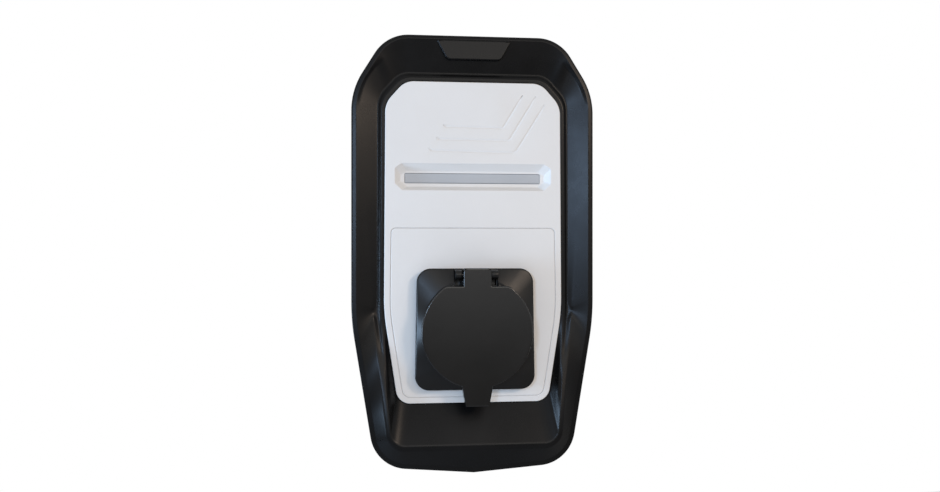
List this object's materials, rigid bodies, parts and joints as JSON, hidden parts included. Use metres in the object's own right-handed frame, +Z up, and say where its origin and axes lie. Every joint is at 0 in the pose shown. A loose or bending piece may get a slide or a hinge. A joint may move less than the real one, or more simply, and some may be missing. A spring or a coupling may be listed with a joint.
{
  "type": "ev charging wallbox",
  "caption": "Wall-mounted charging unit: dark bowl-shaped surround, pale front panel with a light slot, and a socket outlet behind a round sprung lid.",
  "frame": {"origin": "middle of the wall bolt pattern on the wall plane", "axes": "+Z up, +Y into the wall so the front faces -Y, +X to the right seen from the front"},
  "size_m": [0.24, 0.135, 0.4293],
  "materials": {
    "case_black": "fine grained moulded polymer",
    "frame_black": "satin moulded polymer",
    "panel_grey": "fine matte moulded polymer",
    "lens_frosted": "frosted light diffuser",
    "seal_rubber": "matte elastomer",
    "zinc_steel": "zinc plated",
    "silver_brass": "plated brass",
    "board_green": "solder mask",
    "device_grey": "moulded device housing",
    "wire_cover": "flexible wire insulation"
  },
  "bodies": {
    "wallbox": {"rear_housing": "case_black", "bezel_frame": "frame_black", "front_panel": "panel_grey", "lower_cover": "panel_grey", "light_lens": "lens_frosted", "led_board": "board_green", "top_cap": "frame_black", "top_screw": "zinc_steel", "bottom_screws": "zinc_steel", "housing_seal": "seal_rubber", "panel_seal": "seal_rubber", "socket_frame": "frame_black", "socket_gasket": "seal_rubber", "lid_pin": "zinc_steel", "lid_spring": "zinc_steel", "socket_body": "case_black", "socket_insert": "case_black", "contact_sleeves": "silver_brass", "socket_screws": "zinc_steel", "lock_actuator": "device_grey", "din_rail": "zinc_steel", "rail_screws": "zinc_steel", "contactor": "device_grey", "charge_controller": "board_green", "fault_sensor": "device_grey", "terminal_blocks": "device_grey", "supply_grommet": "seal_rubber", "data_grommet": "seal_rubber", "power_wires": "wire_cover", "signal_wires": "wire_cover"},
    "lid": {"socket_lid": "frame_black", "lid_seal": "seal_rubber"},
    "lock": {"lock_pin": "zinc_steel"}
  },
  "joints": [
    {"name": "lid_hinge", "type": "hinge", "parent": "wallbox", "child": "lid", "pos_m": [0, -0.1255, -0.02], "axis": [-1, 0, 0], "range_deg": [0, 110], "stiffness_Nm_per_rad": 0.05, "springref_deg": -28.65},
    {"name": "lock_slide", "type": "slide", "parent": "wallbox", "child": "lock", "axis": [0, 0, -1], "range_m": [0, 0.0045]}
  ]
}
